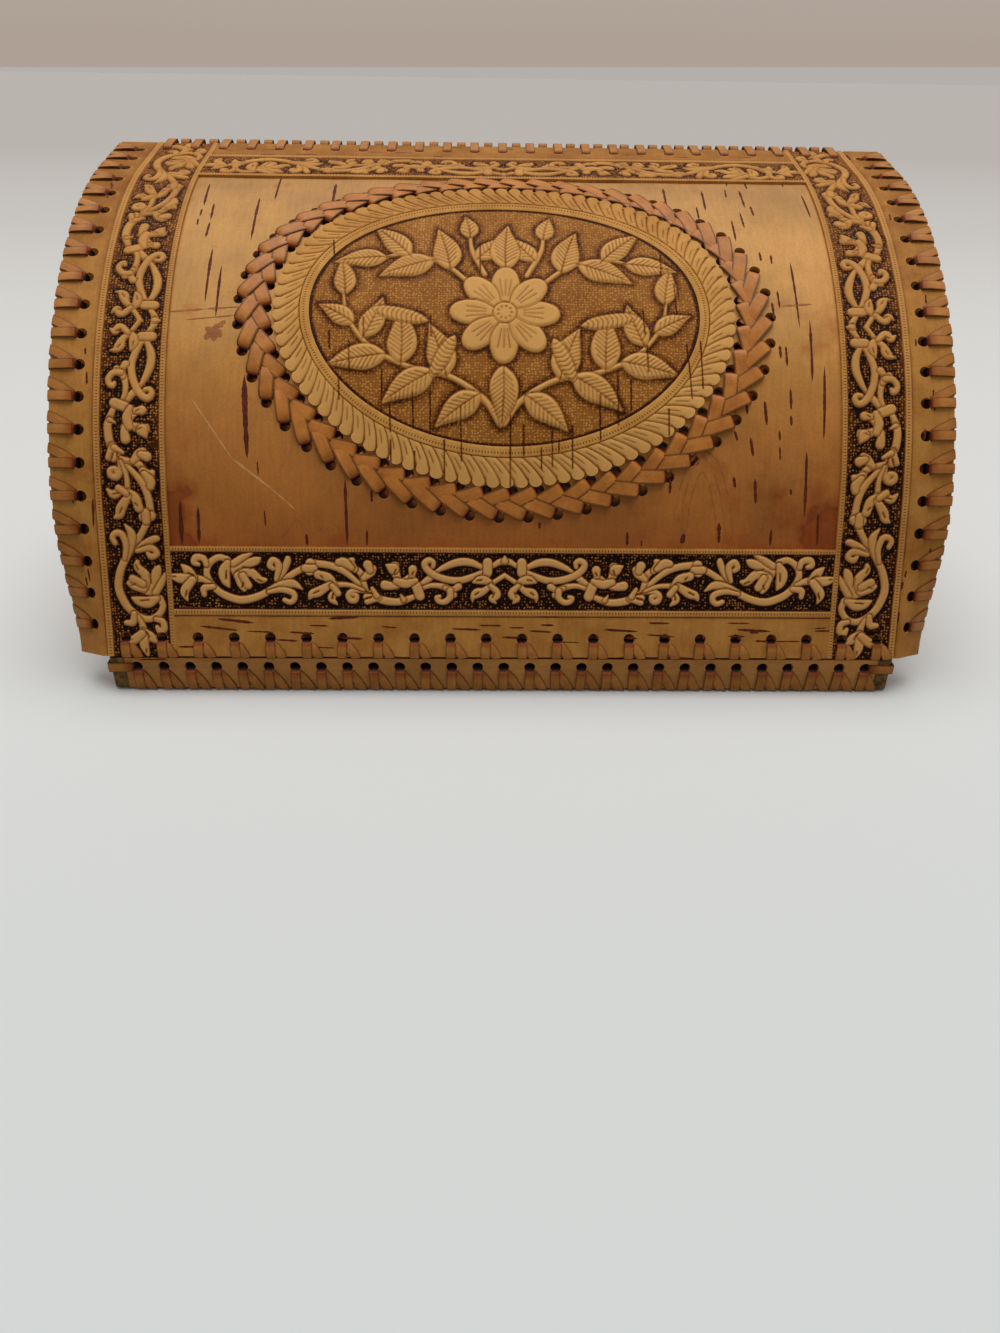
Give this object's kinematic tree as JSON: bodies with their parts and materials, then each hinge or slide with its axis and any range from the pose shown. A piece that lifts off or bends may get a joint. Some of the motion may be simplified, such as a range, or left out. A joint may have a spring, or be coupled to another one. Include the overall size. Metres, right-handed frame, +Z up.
{
  "type": "birch bark chest",
  "caption": "Low laced birch bark tray with a back wall and arched end panels, closed by a curved bark lid that hinges on lacing along its back edge.",
  "frame": {"origin": "centre of the sole's underside, where the chest rests", "axes": "+X along the hinge, to the right seen from the front; the front faces -Y; +Z up"},
  "size_m": [0.3792, 0.1988, 0.2012],
  "materials": {
    "caramel_bark": "satin",
    "wall_bark": "matte",
    "inner_bark": "matte",
    "white_bark": "matte",
    "border_bark": "satin",
    "medallion_bark": "satin",
    "lacing_bark": "matte",
    "braid_bark": "matte"
  },
  "bodies": {
    "tray": {"base_board": "inner_bark", "sole": "white_bark", "floor_lining": "inner_bark", "front_wall": "wall_bark", "front_lining": "inner_bark", "back_wall": "caramel_bark", "back_lining": "inner_bark", "end_panel_left": "caramel_bark", "end_panel_right": "caramel_bark", "end_lining_left": "inner_bark", "end_lining_right": "inner_bark", "corner_piece_left": "white_bark", "corner_piece_right": "white_bark", "base_lacing_front": "lacing_bark", "base_lacing_back": "lacing_bark", "base_lacing_left": "lacing_bark", "base_lacing_right": "lacing_bark", "corner_lacing_front_left": "lacing_bark", "corner_lacing_front_right": "lacing_bark", "corner_lacing_back_left": "lacing_bark", "corner_lacing_back_right": "lacing_bark", "rim_lacing_left": "lacing_bark", "rim_lacing_right": "lacing_bark", "hinge_lacing_wall": "lacing_bark"},
    "lid": {"lid_panel": "caramel_bark", "lid_lining": "inner_bark", "border_left": "border_bark", "border_right": "border_bark", "border_front": "border_bark", "border_back": "border_bark", "medallion": "medallion_bark", "medallion_lacing": "braid_bark", "lid_lacing_front": "lacing_bark", "lid_lacing_left": "lacing_bark", "lid_lacing_right": "lacing_bark", "hinge_lacing_lid": "lacing_bark"}
  },
  "joints": [
    {"name": "lid_hinge", "type": "hinge", "parent": "tray", "child": "lid", "pos_m": [0, 0.09664, 0.19854], "axis": [-1, 0, 0], "range_deg": [0, 125]}
  ]
}
